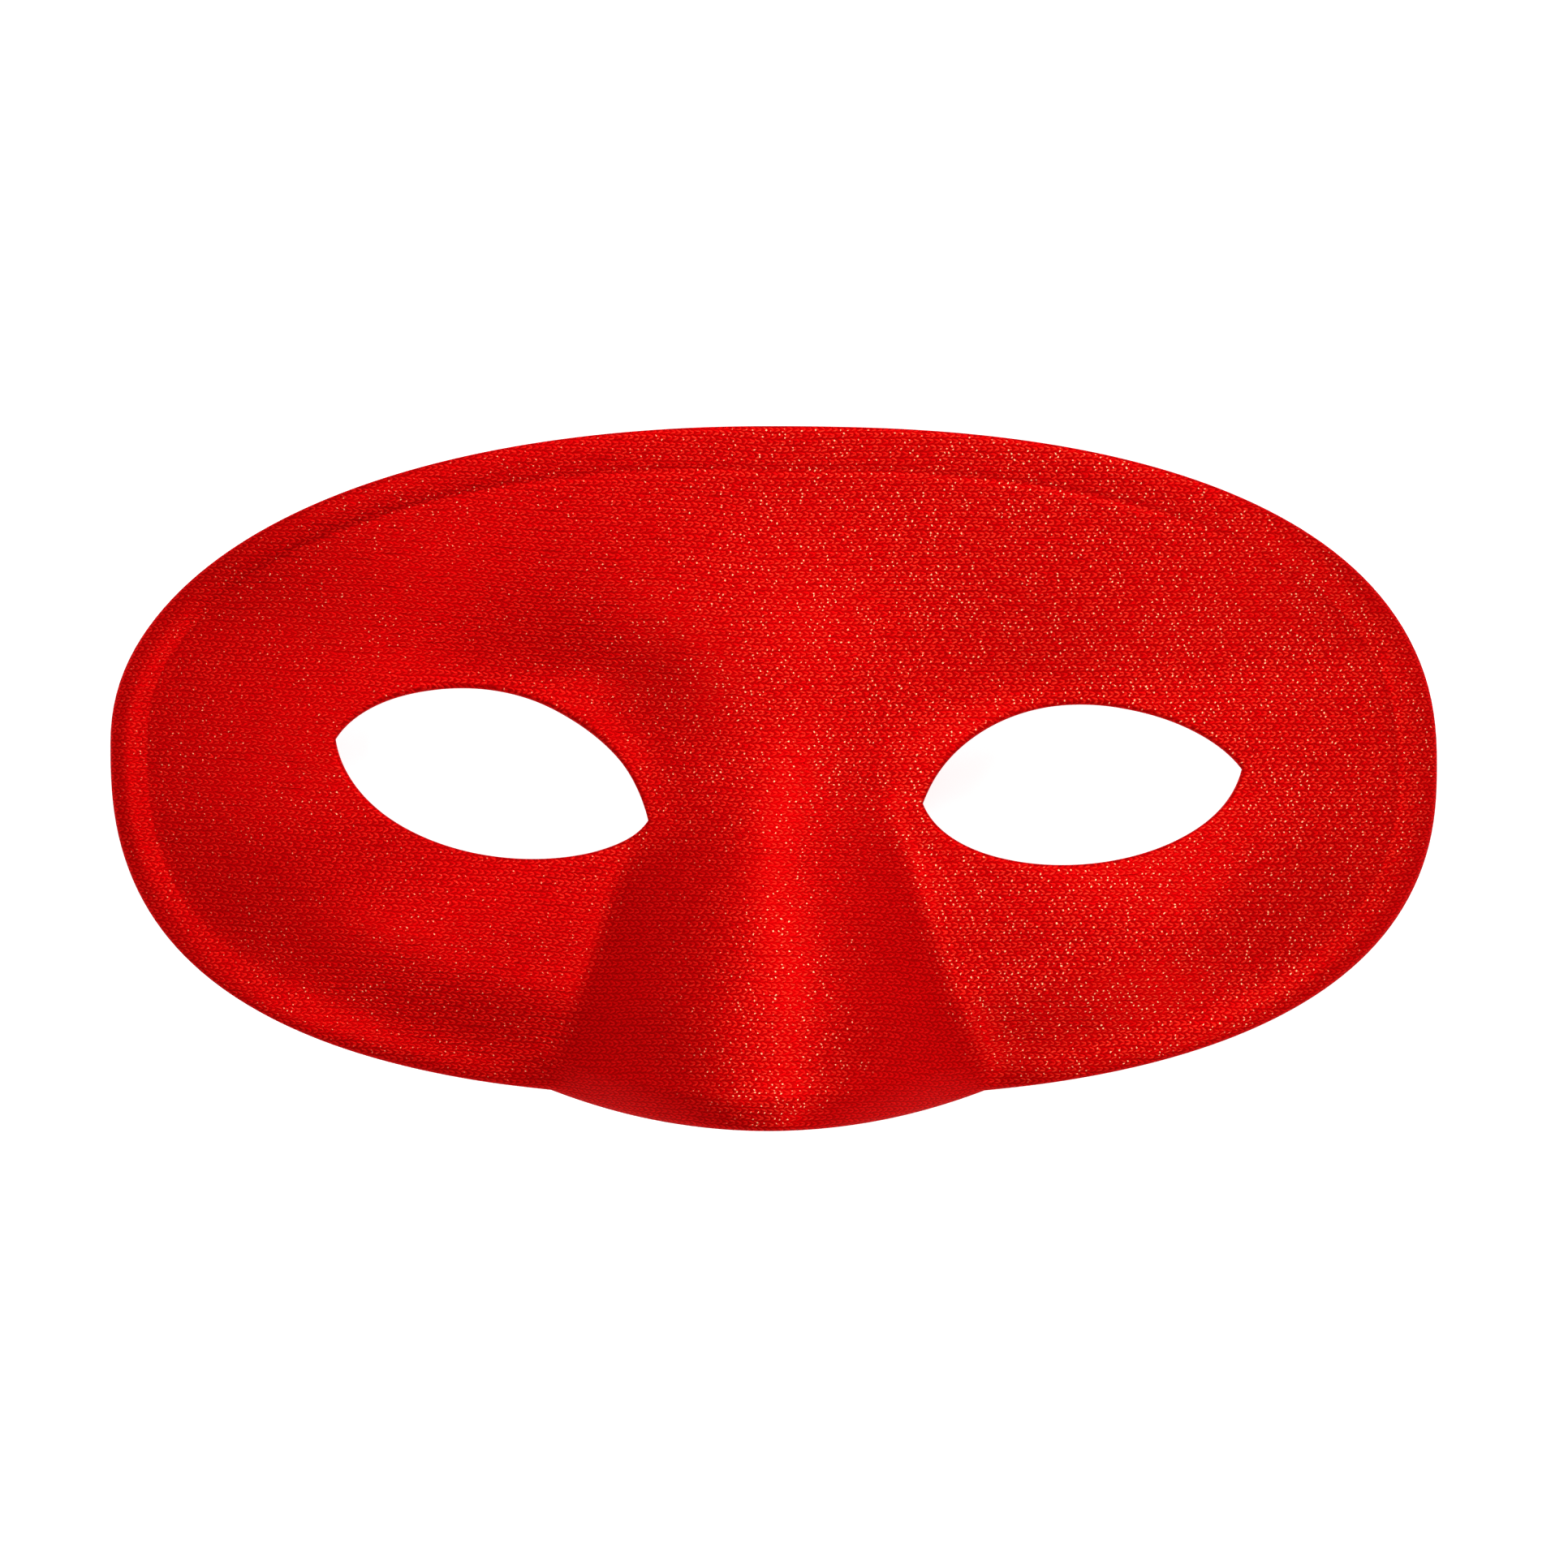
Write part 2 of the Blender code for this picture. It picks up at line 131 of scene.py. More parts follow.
# The rolled rim differs round the mask: degrees round its middle, then shares of beadRise, rollFall
# and creaseDepth, and the crease's place as a share of bandWidth from the outer edge
rim = {
    "turn": (-180, -160, -140, -122, -100, -80, -57, -40, -20, 0, 16, 47, 90, 132, 163, 180),
    "bead": (1.0, 1.0, 0.1, 0.0, 0.0, 0.0, 0.25, 0.65, 0.2, 0.0, 0.2, 0.15, 0.0, 0.45, 0.55, 1.0),
    "fall": (0.25, 0.25, 0.9, 0.5, 0.0, 0.0, 0.5, 0.95, 1.0, 0.25, 0.5, 0.1, 0.1, 0.1, 0.2, 0.25),
    "crease": (0.8, 0.3, 0.0, 0.0, 0.0, 0.0, 0.0, 0.0, 0.3, 0.9, 1.0, 1.0, 0.8, 1.0, 1.0, 0.8),
    "creasePlace": (0.80, 0.80, 0.80, 0.80, 0.80, 0.80, 0.80, 0.80, 0.85, 0.90, 0.90, 0.96, 0.98, 0.84,
                    0.74, 0.80),
    "creaseHalf": 0.07,        # this and the next four are shares of bandWidth
    "beadCrest": 0.25,
    "fallShare": 0.5,
    "roundShare": 0.1,
    "tuckShare": 0.75,
    "tuckPower": 1.35,
}

# The lip turns down beside the nose's tip, in shares of lipHalf from the nose's middle
lip = {"tip": 0.55, "tipHalf": 0.3, "fade": (0.7, 1.35)}

# How finely the fabric's surface is divided
weaveMesh = {
    "brow": 64, "cheek": 54, "lip": 26, "bridge": 60, "rings": 68, "band": 20, "lidSteps": 4,
    "bandGather": 1.35,        # above 1 the rows of the band crowd to the outer edge
    "ringGather": 1.08,        # and the rings of the face to the eye holes
    "smoothing": 3,            # turns of smoothing of the direction in which the wall is laid
    "fineLine": 1200,          # steps of an edge before it is spaced evenly
    "fineLid": 160,
}

halfWidth = mask["width"] / 2
sideBlend = 0.2 * halfWidth          # the two sides change over within this of the middle
lipRadius = (mask["lipHalf"] ** 2 + mask["lipDrop"] ** 2) / (2 * mask["lipDrop"])


def smooth(low, high, value):
    share = np.clip((value - low) / (high - low), 0.0, 1.0)
    return share * share * (3.0 - 2.0 * share)


def hill(value):
    return np.exp(-value * value)


def stepped(values, places, place):
    return values[0] + (values[1] - values[0]) * smooth(places[0], places[1], place)


def sideValue(column, x):
    right = smooth(-sideBlend, sideBlend, x)
    return sides["left"][column] * (1.0 - right) + sides["right"][column] * right


def levelAt(x):
    return sideValue("level", x) * mask["browReach"]


def topEdge(x):
    power = sideValue("browFullness", x)
    spread = np.clip(np.abs(x) / halfWidth, 0.0, 1.0)
    return levelAt(x) + (mask["browReach"] - levelAt(x)) * (1.0 - spread ** power) ** (1.0 / power)


def lowerEdge(x):
    power = sideValue("cheekFullness", x)
    spread = np.clip(np.abs(x) / halfWidth, 0.0, 1.0)
    oval = levelAt(x) - (mask["cheekReach"] + levelAt(x)) * (1.0 - spread ** power) ** (1.0 / power)
    across = np.minimum(np.abs(x - mask["noseMiddle"]), mask["lipHalf"])
    return oval - (np.sqrt(lipRadius ** 2 - across ** 2) - lipRadius + mask["lipDrop"])


def ovalPlace(x, y):
    rise = y - levelAt(x)
    upper = rise > 0
    power = np.where(upper, sideValue("browFullness", x), sideValue("cheekFullness", x))
    reach = np.where(upper, mask["browReach"] - levelAt(x), mask["cheekReach"] + levelAt(x))
    out = ((np.abs(x) / halfWidth) ** power + (np.abs(rise) / reach) ** power) ** (1.0 / power)
    return out, np.abs(rise), reach


def noseAt(x, y):
    length = mask["noseRoot"] + mask["cheekReach"] + mask["lipDrop"]
    down = np.clip((mask["noseRoot"] - y) / length, 0.0, 1.0)
    below = -y / mask["cheekReach"]
    wider = np.maximum((below - noseForm["widenFrom"]) / (1.0 - noseForm["widenFrom"]), 0.0)
    spread = mask["noseLowHalf"] - mask["noseTopHalf"]
    half = mask["noseTopHalf"] + spread * wider ** noseForm["widenPower"]
    across = (x - mask["noseMiddle"]) / half
    ridge = stepped(noseForm["ridgeRound"], noseForm["ridgeRange"], -below)
    foot = stepped(noseForm["footRound"], noseForm["footRange"], -below)
    straight = (np.hypot(across, ridge) - ridge) / (np.hypot(1.0, ridge) - ridge)
    roof = 1.0 - straight - noseForm["bulge"] * (across ** 2 - straight)
    fade = hill(noseForm["fade"] * np.maximum(np.abs(across) - 1.0, 0.0))
    section = 0.5 * (roof + np.hypot(roof, foot)) * fade
    rise = down ** noseForm["climb"] * (1.0 + noseForm["ease"] * (1.0 - down))
    return mask["noseHeight"] * rise * section


def edgeAt(x, y):
    out, rise, reach = ovalPlace(x, y)
    height = np.minimum(rise / np.maximum(out, 0.0001), reach)
    return mask["edgeLift"] * smooth(mask["restHalf"], reach, height)


def eyeMiddle(eye):
    return np.array([eye["side"] * mask["eyeSpacing"] / 2 + mask["eyeShift"],
                     eye["lift"] * mask["eyeWidth"] - mask["eyeDrop"]])


def socketAt(eye, x, y):
    inward = (eyeMiddle(eye)[0] - x) * eye["side"] - mask["socketShift"]
    upward = y - eyeMiddle(eye)[1] + mask["socketDrop"]
    length = np.where(inward > 0, mask["socketInner"], mask["socketOuter"])
    power = socketForm["power"]
    out = (np.abs(inward) / length) ** power + (np.abs(upward) / mask["socketHeight"]) ** power
    out = out ** (1.0 / power)
    turn = np.degrees(np.arctan2(upward, inward))
    strength = smooth(*socketForm["grow"], turn) * (1.0 - smooth(*socketForm["fade"], turn)) * eye["hollow"]
    width = np.where(out > 1.0, socketForm["outside"], socketForm["inside"])
    return mask["socketDepth"] * strength * hill((out - 1.0) / width)


def dentAt(dent, eye, x, y):
    inward = (eyeMiddle(eye)[0] - x) * eye["side"] / mask["eyeWidth"]
    level = y / mask[dent["reach"]]
    form = hill((inward - dent["inward"]) / dent["wide"]) * hill((level - dent["level"]) / dent["tall"])
    strength = eye["hollow"] if dent["sign"] < 0 else 1.0
    return dent["sign"] * strength * mask[dent["rise"]] * form


def faceAt(x, y):
    out, rise, reach = ovalPlace(x, y)
    edge = edgeAt(x, y) + mask["edgeHeight"]
    height = mask["crownHeight"] - (mask["crownHeight"] - edge) * out ** mask["crownFullness"]
    lower = smooth(*tuckForm["lines"], -y / mask["cheekReach"])
    besideNose = 1.0 - tuckForm["beside"] * hill((x - mask["noseMiddle"]) / mask["noseTopHalf"])
    height = height + mask["cheekTuck"] * lower * besideNose * (1.0 - smooth(*tuckForm["ovals"], out))
    height = height + noseAt(x, y)
    for eye in sides.values():
        height = height - socketAt(eye, x, y)
        for dent in dents.values():
            height = height + dentAt(dent, eye, x, y)
    return height


def lipTuckAt(x, y):
    across = np.abs(x - mask["noseMiddle"]) / mask["lipHalf"]
    tip = lip["tip"] * hill(across / lip["tipHalf"])
    return np.where(y < 0, mask["lipTuck"] * (1.0 - tip) * (1.0 - smooth(*lip["fade"], across)), 0.0)


def rollAt(share, x, y):
    turn = np.degrees(np.arctan2(y, x))
    bead = mask["beadRise"] * np.interp(turn, rim["turn"], rim["bead"])
    fall = mask["rollFall"] * np.interp(turn, rim["turn"], rim["fall"])
    crease = mask["creaseDepth"] * np.interp(turn, rim["turn"], rim["crease"])
    creasePlace = np.interp(turn, rim["turn"], rim["creasePlace"])
    roll = bead * (1.0 - smooth(rim["beadCrest"], 1.0, share))
    roll = roll - crease * hill((share - creasePlace) / rim["creaseHalf"])
    roll = roll - fall * np.maximum(1.0 - share / rim["fallShare"], 0.0) ** 2
    roll = roll - mask["edgeRound"] * np.maximum(1.0 - share / rim["roundShare"], 0.0) ** 2
    return roll - lipTuckAt(x, y) * np.maximum(1.0 - share / rim["tuckShare"], 0.0) ** rim["tuckPower"]


def evenSteps(points, count):
    lengths = np.concatenate([[0.0], np.cumsum(np.hypot(*np.diff(points, axis=0).T))])
    marks = np.linspace(0.0, lengths[-1], count + 1)
    return np.column_stack([np.interp(marks, lengths, points[:, axis]) for axis in (0, 1)])


def edgeLine(edge, start, end, count):
    ends = np.arcsin(start / halfWidth), np.arcsin(end / halfWidth)
    turn = np.linspace(*ends, weaveMesh["fineLine"] + 1)
    x = halfWidth * np.sin(turn)
    return evenSteps(np.column_stack([x, edge(x)]), count)


def outlineHalf(side):
    tip = side * halfWidth
    corner = mask["noseMiddle"] + side * mask["lipHalf"]
    brow = edgeLine(topEdge, mask["noseMiddle"], tip, weaveMesh["brow"])
    cheek = edgeLine(lowerEdge, tip, corner, weaveMesh["cheek"])
    lipLine = edgeLine(lowerEdge, corner, mask["noseMiddle"], weaveMesh["lip"])
    return np.vstack([brow, cheek[1:], lipLine[1:]])


def lidCurve(eye, handles, height):
    t = np.linspace(0.0, 1.0, weaveMesh["fineLid"] + 1)[:, None]
    controls = np.array([(0.0, 0.0), *handles, (1.0, 0.0)])
    curve = ((1 - t) ** 3 * controls[0] + 3 * t * (1 - t) ** 2 * controls[1]
             + 3 * t * t * (1 - t) * controls[2] + t ** 3 * controls[3])
    along = (curve[:, 0] - 0.5) * mask["eyeWidth"]
    across = curve[:, 1] * height
    tilt = np.radians(eye["tilt"])
    x = along * np.cos(tilt) - across * np.sin(tilt)
    y = along * np.sin(tilt) + across * np.cos(tilt)
    return np.column_stack([eye["side"] * x, y]) + eyeMiddle(eye)


def holeLoop(eye, targets):
    upper = lidCurve(eye, eye["upper"], mask["upperLid"])
    lower = lidCurve(eye, eye["lower"], -mask["lowerLid"])
    loop = np.vstack([upper, lower[-2:0:-1]]) - eyeMiddle(eye)
    loopTurn = np.arctan2(loop[:, 1], loop[:, 0])
    order = np.argsort(loopTurn)
    reach = np.hypot(loop[:, 0], loop[:, 1])[order]
    ways = targets - eyeMiddle(eye)
    turns = np.arctan2(ways[:, 1], ways[:, 0])
    lengths = np.interp(turns, loopTurn[order], reach, period=2 * np.pi)
    points = np.column_stack([np.cos(turns), np.sin(turns)]) * lengths[:, None] + eyeMiddle(eye)
    for corner in (upper[0], upper[-1]):
        points[np.argmin(np.hypot(*(points - corner).T))] = corner
    return points


def maskSurface():
    right, left = outlineHalf(1), outlineHalf(-1)
    outline = np.vstack([right, left[-2:0:-1]])
    before, after = np.roll(outline, 1, axis=0), np.roll(outline, -1, axis=0)
    along = (after - before) / np.hypot(*(after - before).T)[:, None]
    inward = np.column_stack([along[:, 1], -along[:, 0]])
    points = []

    def addRow(xy, z):
        first = sum(len(part) for part in points)
        points.append(np.column_stack([xy, z]))
        return np.arange(first, first + len(xy))

    x, y = outline.T
    foot = edgeAt(x, y) + noseAt(x, y) - lipTuckAt(x, y)
    top = faceAt(x, y) + rollAt(0.0, x, y)
    bandRows = [addRow(outline, foot), addRow(outline, (foot + top) / 2)]
    for share in np.linspace(0.0, 1.0, weaveMesh["band"] + 1) ** weaveMesh["bandGather"]:
        place = outline + inward * share * mask["bandWidth"]
        bandRows.append(addRow(place, faceAt(*place.T) + rollAt(share, x, y)))
    bandEnd = bandRows[-1]

    turn = len(right) - 1
    low, top = np.vstack(points)[bandEnd[[turn, 0]]][:, :2]
    place = low + (top - low) * np.linspace(0.0, 1.0, weaveMesh["bridge"] + 1)[1:-1, None]
    bridge = addRow(place, faceAt(*place.T))

    strips = list(zip(bandRows, bandRows[1:]))
    holes = []
    for eye, outer in ((sides["right"], np.concatenate([bandEnd[:turn + 1], bridge])),
                       (sides["left"], np.concatenate([bandEnd[turn:], bandEnd[:1], bridge[::-1]]))):
        targets = np.vstack(points)[outer][:, :2]
        hole = holeLoop(eye, targets)
        outwards = (targets - hole) / np.hypot(*(targets - hole).T)[:, None]
        start = hole + outwards * mask["lidRound"]
        rings = []
        for share in np.linspace(0.0, 1.0, weaveMesh["rings"] + 1)[:-1] ** weaveMesh["ringGather"]:
            place = start + (targets - start) * share
            away = np.hypot(*(place - hole).T)
            noseward = (eyeMiddle(eye)[0] - place[:, 0]) * eye["side"] / mask["eyeWidth"]
            lid = mask["lidRise"] * smooth(*mask["lidRange"], noseward) * hill(away / mask["lidReach"])
            rings.append(addRow(place, faceAt(*place.T) + lid))
        strips += list(zip(rings[1:] + [outer], rings))
        holes.append((rings[0], -outwards))
    return np.vstack(points), strips, bandRows, inward, holes


def strip(first, second):
    return np.column_stack([second, np.roll(second, -1), np.roll(first, -1), first])


def skinNormals(points, faces):
    corners = points[faces]
    across = np.cross(corners[:, 2] - corners[:, 0], corners[:, 3] - corners[:, 1])
    normals = np.zeros_like(points)
    for corner in range(4):
        np.add.at(normals, faces[:, corner], across)
    normals /= np.linalg.norm(normals, axis=1)[:, None]
    for turn in range(weaveMesh["smoothing"]):
        mean = normals[faces].mean(axis=1)
        total = np.zeros_like(points)
        for corner in range(4):
            np.add.at(total, faces[:, corner], mean)
        normals = total / np.linalg.norm(total, axis=1)[:, None]
    return normals


# The knit lies a little stretched over the form: its own lengths follow the surface by this share
knit = {
    "follow": 0.45,
    "rowPitch": 0.92,          # mm between rows of stitches
    "stitchPitch": 0.88,       # mm between stitches in a row
    "unevenness": 0.35,
    "rowTilt": 0.045,          # slope of the rows on the left half
    "rimShare": 0.8,           # share of the rim's side that the knit covers unstretched
    "gridHalf": (0.100, 0.060),
    "gridStep": 0.0005,
}


def knitPlaces(points, bandRows, inward):
    step = knit["gridStep"]
    gridX, gridY = [np.arange(-half, half + step / 2, step) for half in knit["gridHalf"]]
    x, y = np.meshgrid(gridX, gridY)
    slopeY, slopeX = np.gradient(faceAt(x, y), step, step)
    longX = 1.0 + knit["follow"] * (np.hypot(1.0, slopeX) - 1.0)
    longY = 1.0 + knit["follow"] * (np.hypot(1.0, slopeY) - 1.0)
    u = np.cumsum(longX, axis=1) * step
    v = np.cumsum(longY, axis=0) * step
    u -= u[:, [len(gridX) // 2]]
    v -= v[[len(gridY) // 2], :]
    v += knit["rowTilt"] * np.minimum(x, 0.0)

    column = (points[:, 0] - gridX[0]) / step
    row = (points[:, 1] - gridY[0]) / step
    c, r = np.floor(column).astype(int), np.floor(row).astype(int)
    fc, fr = column - c, row - r
    places = np.zeros_like(points)
    for axis, table in enumerate((u, v)):
        places[:, axis] = ((table[r, c] * (1 - fc) + table[r, c + 1] * fc) * (1 - fr)
                           + (table[r + 1, c] * (1 - fc) + table[r + 1, c + 1] * fc) * fr)
    # over the rolled rim the knit goes on down the side by the length that it covers
    extra = np.zeros(len(inward))
    for outer, inner in zip(bandRows[-2::-1], bandRows[:0:-1]):
        gap = points[outer] - points[inner]
        extra = extra + np.linalg.norm(gap, axis=1) - np.hypot(gap[:, 0], gap[:, 1])
        places[outer, :2] -= inward * extra[:, None] * knit["rimShare"]
    return places * 1000.0


def buildMask():
    skin, strips, bandRows, inward, holes = maskSurface()
    outerFaces = np.vstack([strip(first, second) for first, second in strips])
    normals = skinNormals(skin, outerFaces)
    for row in bandRows[:2]:
        normals[row] = np.column_stack([-inward, np.zeros(len(inward))])
    places = knitPlaces(skin, bandRows, inward)
    back = skin - normals * mask["wall"]
    back[bandRows[0], 2] = skin[bandRows[0], 2]
    count = len(skin)
    points, allPlaces = [skin, back], [places, places]
    faces = [outerFaces, strip(bandRows[0] + count, bandRows[0])]
    for ring, towardsHole in holes:
        rows = [ring]
        middle = (skin[ring] + back[ring]) / 2
        sideways = np.column_stack([towardsHole, np.zeros(len(ring))])
        sideways -= normals[ring] * (sideways * normals[ring]).sum(axis=1)[:, None]
        for turn in np.linspace(90.0, -90.0, weaveMesh["lidSteps"] + 2)[1:-1]:
            rise, reach = np.sin(np.radians(turn)), np.cos(np.radians(turn))
            rows.append(np.arange(len(ring)) + sum(len(part) for part in points))
            outward = normals[ring] * rise * mask["wall"] / 2
            points.append(middle + outward + sideways * reach * mask["lidRound"])
            travel = sideways * (1.0 - rise) * mask["wall"] / 2 * 1000.0
            allPlaces.append(places[ring] + travel)
        rows.append(ring + count)
        faces += [strip(first, second) for first, second in zip(rows, rows[1:])]
    frontCount = sum(len(part) for part in faces)
    faces.append(outerFaces[:, ::-1] + count)

    points, faces = np.vstack(points), np.vstack(faces)
    low = (points[:, 1].max() + points[:, 1].min()) / 2
    points[:, 1] -= low
    mesh = bpy.data.meshes.new("red_mask")
    mesh.from_pydata(points.tolist(), [], faces.tolist())
    mesh.polygons.foreach_set("material_index", (np.arange(len(faces)) >= frontCount).astype(np.int32))
    attribute = mesh.attributes.new("knitPlace", "FLOAT_VECTOR", "POINT")
    attribute.data.foreach_set("vector", np.vstack(allPlaces).ravel())
    mesh.update()
    mesh.shade_smooth()
    piece = bpy.data.objects.new("red_mask", mesh)
    bpy.context.scene.collection.objects.link(piece)
    print("mask fabric", len(faces), "faces")
    return piece


def addNode(tree, kind, values=None, **settings):
    node = tree.nodes.new(kind)
    for name, value in settings.items():
        setattr(node, name, value)
    for name, value in (values or {}).items():
        if isinstance(value, bpy.types.NodeSocket):
            tree.links.new(value, node.inputs[name])
        else:
            node.inputs[name].default_value = value
    return node


def sums(tree, operation, *values):
    return addNode(tree, "ShaderNodeMath", dict(enumerate(values)), operation=operation).outputs[0]


def vectorSum(tree, operation, first, second):
    return addNode(tree, "ShaderNodeVectorMath", {0: first, 1: second}, operation=operation).outputs[0]


def vectorScale(tree, vector, scale):
    return addNode(tree, "ShaderNodeVectorMath", {0: vector, "Scale": scale}, operation="SCALE").outputs[0]


def between(tree, value, low, high):
    node = addNode(tree, "ShaderNodeMapRange", {"Value": value, "From Min": low, "From Max": high},
                   interpolation_type="SMOOTHSTEP")
    return node.outputs["Result"]


def blendColors(tree, share, first, second, kind="MIX"):
    node = addNode(tree, "ShaderNodeMix", data_type="RGBA", blend_type=kind)
    for index, value in ((0, share), (6, first), (7, second)):
        if isinstance(value, bpy.types.NodeSocket):
            tree.links.new(value, node.inputs[index])
        else:
            node.inputs[index].default_value = value
    return node.outputs[2]


# Each stitch is a loop of two short arms. Lengths are shares of the stitch's width or of its row,
# and a pair says where something starts and where it is full, or a slope and the height at the middle.
stitch = {
    "swayScale": 0.22,
    "swayShare": 1.8,          # how much more the yarn sways than it shivers
    "shiverScale": 1.3,
    "lean": (-0.32, 0.235),    # an arm's middle line
    "waver": 0.10,             # how much the arms differ in that height
    "armHalf": 0.17,
    "slip": 0.3,               # how much the arms differ in where they end
    "leftEnd": (-0.48, 0.05),
    "rightEnd": (0.56, 0.34),
    "faintEnd": 0.28,          # what is left of an arm past its ends
    "pullStep": (0.20, 3.7),   # of the noise that picks the pulled threads, along and across the rows
    "pullPick": (0.54, 0.70),
    "pullPlace": (0.30, 0.48),
    "glintWander": (0.5, -0.2),
    "glintSize": (0.24, 0.06),
    "tallness": (0.6, 0.6),    # the part of an arm's height that luck gives, and the sure part
}


# One group gives the knit to both sides of the mask
def knitGroup():
    tree = bpy.data.node_groups.new("knitStitches", "ShaderNodeTree")
    tree.interface.new_socket("Place", in_out="INPUT", socket_type="NodeSocketVector")
    for name in ("Row Pitch", "Stitch Pitch", "Unevenness"):
        tree.interface.new_socket(name, in_out="INPUT", socket_type="NodeSocketFloat")
    for name in ("Arm", "Luck", "Glint", "Pull", "Height"):
        tree.interface.new_socket(name, in_out="OUTPUT", socket_type="NodeSocketFloat")
    given = tree.nodes.new("NodeGroupInput").outputs

    # the yarn wanders a little off its grid
    offs = []
    for scale, detail in ((stitch["swayScale"], 3.0), (stitch["shiverScale"], 1.0)):
        noise = addNode(tree, "ShaderNodeTexNoise",
                        {"Vector": given["Place"], "Scale": scale, "Detail": detail})
        offs.append(vectorSum(tree, "SUBTRACT", noise.outputs["Color"], (0.5, 0.5, 0.5)))
    middle, small = offs
    both = vectorSum(tree, "ADD", vectorScale(tree, middle, stitch["swayShare"]), small)
    place = vectorSum(tree, "ADD", given["Place"], vectorScale(tree, both, given["Unevenness"]))
    split = addNode(tree, "ShaderNodeSeparateXYZ", {0: place}).outputs

    rowCount = sums(tree, "DIVIDE", split["Y"], given["Row Pitch"])
    row = sums(tree, "FLOOR", rowCount)
    stagger = sums(tree, "MULTIPLY", sums(tree, "FLOORED_MODULO", row, 2.0), 0.5)
    stitchCount = sums(tree, "ADD", sums(tree, "DIVIDE", split["X"], given["Stitch Pitch"]), stagger)
    column = sums(tree, "FLOOR", stitchCount)
    across = sums(tree, "SUBTRACT", sums(tree, "SUBTRACT", stitchCount, column), 0.5)
    upward = sums(tree, "SUBTRACT", sums(tree, "SUBTRACT", rowCount, row), 0.5)
    upperArm = sums(tree, "GREATER_THAN", upward, 0.0)
    cell = addNode(tree, "ShaderNodeCombineXYZ", {"X": column, "Y": row, "Z": upperArm}).outputs[0]
    luck = addNode(tree, "ShaderNodeTexWhiteNoise", {"Vector": cell}, noise_dimensions="3D")
    lucks = addNode(tree, "ShaderNodeSeparateColor", {"Color": luck.outputs["Color"]}).outputs

    # the two arms lean together towards the right, and an eye stays open between them at the left
    away = sums(tree, "ABSOLUTE", upward)
    lean = sums(tree, "MULTIPLY_ADD", across, *stitch["lean"])
    middleLine = sums(tree, "SUBTRACT", lean, stitch["waver"] / 2)
    middleLine = sums(tree, "MULTIPLY_ADD", lucks["Green"], stitch["waver"], middleLine)
    off = sums(tree, "DIVIDE", sums(tree, "SUBTRACT", away, middleLine), stitch["armHalf"])
    roundness = sums(tree, "MAXIMUM", sums(tree, "SUBTRACT", 1.0, sums(tree, "MULTIPLY", off, off)), 0.0)
    slip = sums(tree, "SUBTRACT", across, stitch["slip"] / 2)
    slip = sums(tree, "MULTIPLY_ADD", lucks["Red"], stitch["slip"], slip)
    leftEnd, rightEnd = [between(tree, slip, *stitch[end]) for end in ("leftEnd", "rightEnd")]
    ends = sums(tree, "MULTIPLY", leftEnd, rightEnd)
    ends = sums(tree, "MULTIPLY_ADD", ends, 1.0 - stitch["faintEnd"], stitch["faintEnd"])
    arm = sums(tree, "MULTIPLY", roundness, ends)

    # pulled threads open short lines between some rows, which the material darkens with the painted shade of
    # the gaps
    pullX = sums(tree, "MULTIPLY", split["X"], stitch["pullStep"][0])
    pullY = sums(tree, "MULTIPLY", row, stitch["pullStep"][1])
    pullPlace = addNode(tree, "ShaderNodeCombineXYZ", {"X": pullX, "Y": pullY}).outputs[0]
    pullNoise = addNode(tree, "ShaderNodeTexNoise", {"Vector": pullPlace, "Scale": 1.0, "Detail": 1.0})
    pullLine = between(tree, away, *stitch["pullPlace"])
    pull = sums(tree, "MULTIPLY", between(tree, pullNoise.outputs["Fac"], *stitch["pullPick"]), pullLine)

    # a glint, painted into the colour, is a point that sits somewhere on an arm's crown
    glintMiddle = sums(tree, "MULTIPLY_ADD", lucks["Green"], *stitch["glintWander"])
    glintAcross = sums(tree, "SUBTRACT", across, glintMiddle)
    glintUp = sums(tree, "SUBTRACT", away, lean)
    glintAway = sums(tree, "SQRT", sums(tree, "ADD", sums(tree, "MULTIPLY", glintAcross, glintAcross),
                                        sums(tree, "MULTIPLY", glintUp, glintUp)))
    glint = sums(tree, "MULTIPLY", between(tree, glintAway, *stitch["glintSize"]), lucks["Blue"])
    chance = luck.outputs["Value"]
    tall = sums(tree, "MULTIPLY", arm, sums(tree, "MULTIPLY_ADD", chance, *stitch["tallness"]))
    addNode(tree, "NodeGroupOutput", {"Arm": arm, "Luck": chance, "Glint": glint, "Pull": pull,
                                      "Height": sums(tree, "SUBTRACT", tall, pull)})
    return tree


